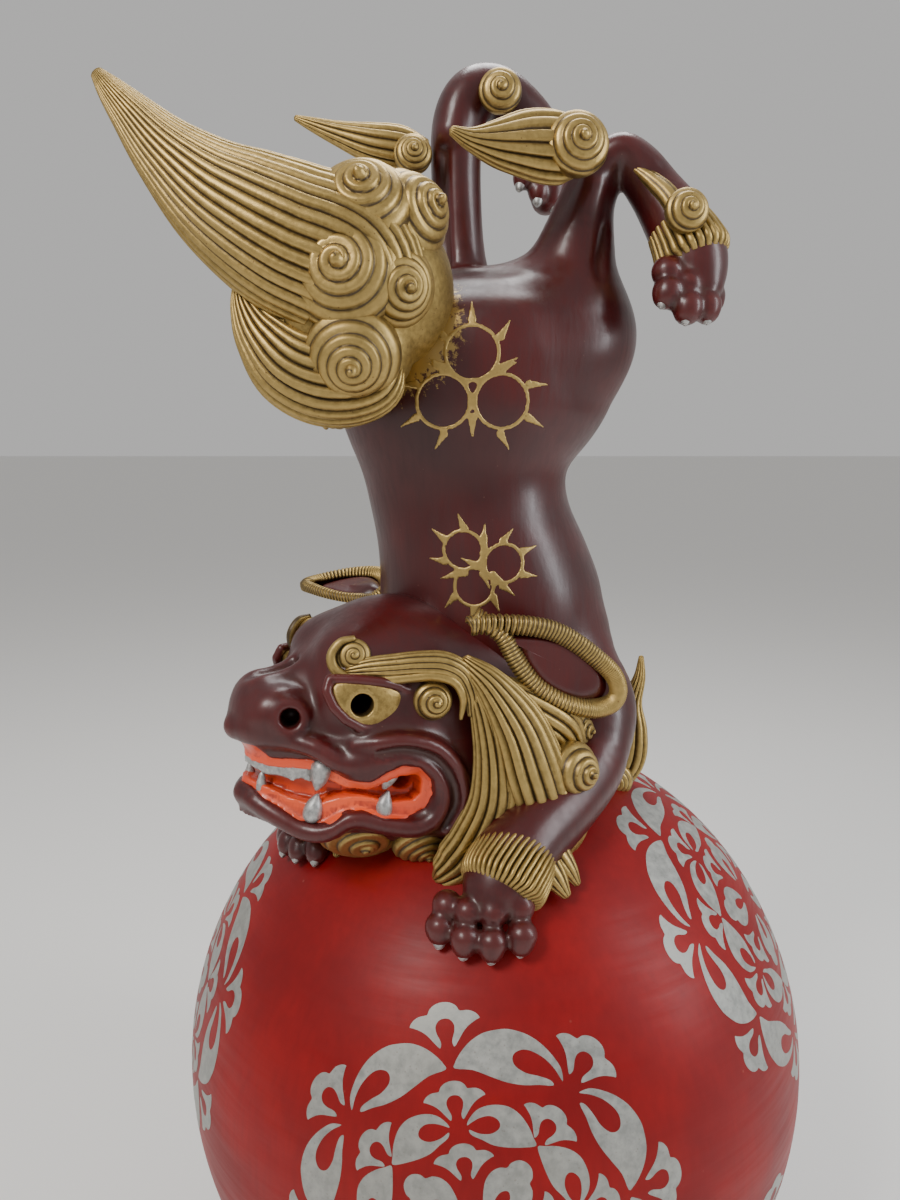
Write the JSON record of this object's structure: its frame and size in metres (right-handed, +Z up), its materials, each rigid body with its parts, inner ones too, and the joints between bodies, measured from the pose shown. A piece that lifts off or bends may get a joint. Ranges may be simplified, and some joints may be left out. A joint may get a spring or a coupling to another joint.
{
  "type": "guardian lion statue on ball",
  "caption": "Dark red and gilt guardian lion doing a handstand on a red ball with silver arabesque medallions, on a turned black foot.",
  "frame": {"origin": "centre of the foot's underside, on the ball's vertical axis", "axes": "+Z up; -Y is the display side, towards the lion's left flank; the muzzle points to -X and a little to -Y"},
  "size_m": [0.3038, 0.3, 0.633],
  "materials": {
    "lion_lacquer": "satin lacquer",
    "gilding": "gilded, dark in the grooves",
    "ball_lacquer": "satin lacquer with silver-leaf medallions",
    "mouth_lacquer": "satin lacquer",
    "silvering": "silvered",
    "black_lacquer": "satin lacquer",
    "bare_wood": "bare",
    "felt": "matt",
    "steel": "zinc plated"
  },
  "bodies": {
    "root": {"plinth": "black_lacquer", "plinth_felt": "felt", "plinth_washer": "steel", "plinth_bolt": "steel", "ball_lower_shell": "ball_lacquer", "ball_upper_shell": "ball_lacquer", "ball_joint_band": "bare_wood", "ball_foot_block": "bare_wood", "ball_crown_block": "bare_wood", "left_paw_pin": "steel", "right_paw_pin": "steel", "waist_dowels": "bare_wood", "neck_dowel": "bare_wood", "hip_dowels": "bare_wood", "tail_dowel": "bare_wood", "chest_block": "lion_lacquer", "rump_block": "lion_lacquer", "head_block": "lion_lacquer", "mouth_lining": "mouth_lacquer", "upper_teeth": "silvering", "lower_teeth": "silvering", "chin_curls": "gilding", "tail_root": "gilding", "tail_plume": "gilding", "tail_side_lock": "gilding", "tail_curls": "gilding", "left_foreleg": "lion_lacquer", "left_fore_paw": "lion_lacquer", "left_fore_cuff": "gilding", "left_fore_claws": "silvering", "left_elbow_flame": "gilding", "left_wrist_tuft": "gilding", "left_hind_leg": "lion_lacquer", "left_hind_foot": "lion_lacquer", "left_hind_cuff": "gilding", "left_hind_claws": "silvering", "left_hock_flame": "gilding", "left_ankle_curl": "gilding", "left_eye": "gilding", "left_brow": "gilding", "left_temple_curl": "gilding", "left_ear": "lion_lacquer", "left_mane": "gilding", "right_foreleg": "lion_lacquer", "right_fore_paw": "lion_lacquer", "right_fore_cuff": "gilding", "right_fore_claws": "silvering", "right_elbow_flame": "gilding", "right_wrist_tuft": "gilding", "right_hind_leg": "lion_lacquer", "right_hind_foot": "lion_lacquer", "right_hind_cuff": "gilding", "right_hind_claws": "silvering", "right_hock_flame": "gilding", "right_ankle_curl": "gilding", "right_eye": "gilding", "right_brow": "gilding", "right_temple_curl": "gilding", "right_ear": "lion_lacquer", "right_mane": "gilding"}
  },
  "joints": []
}
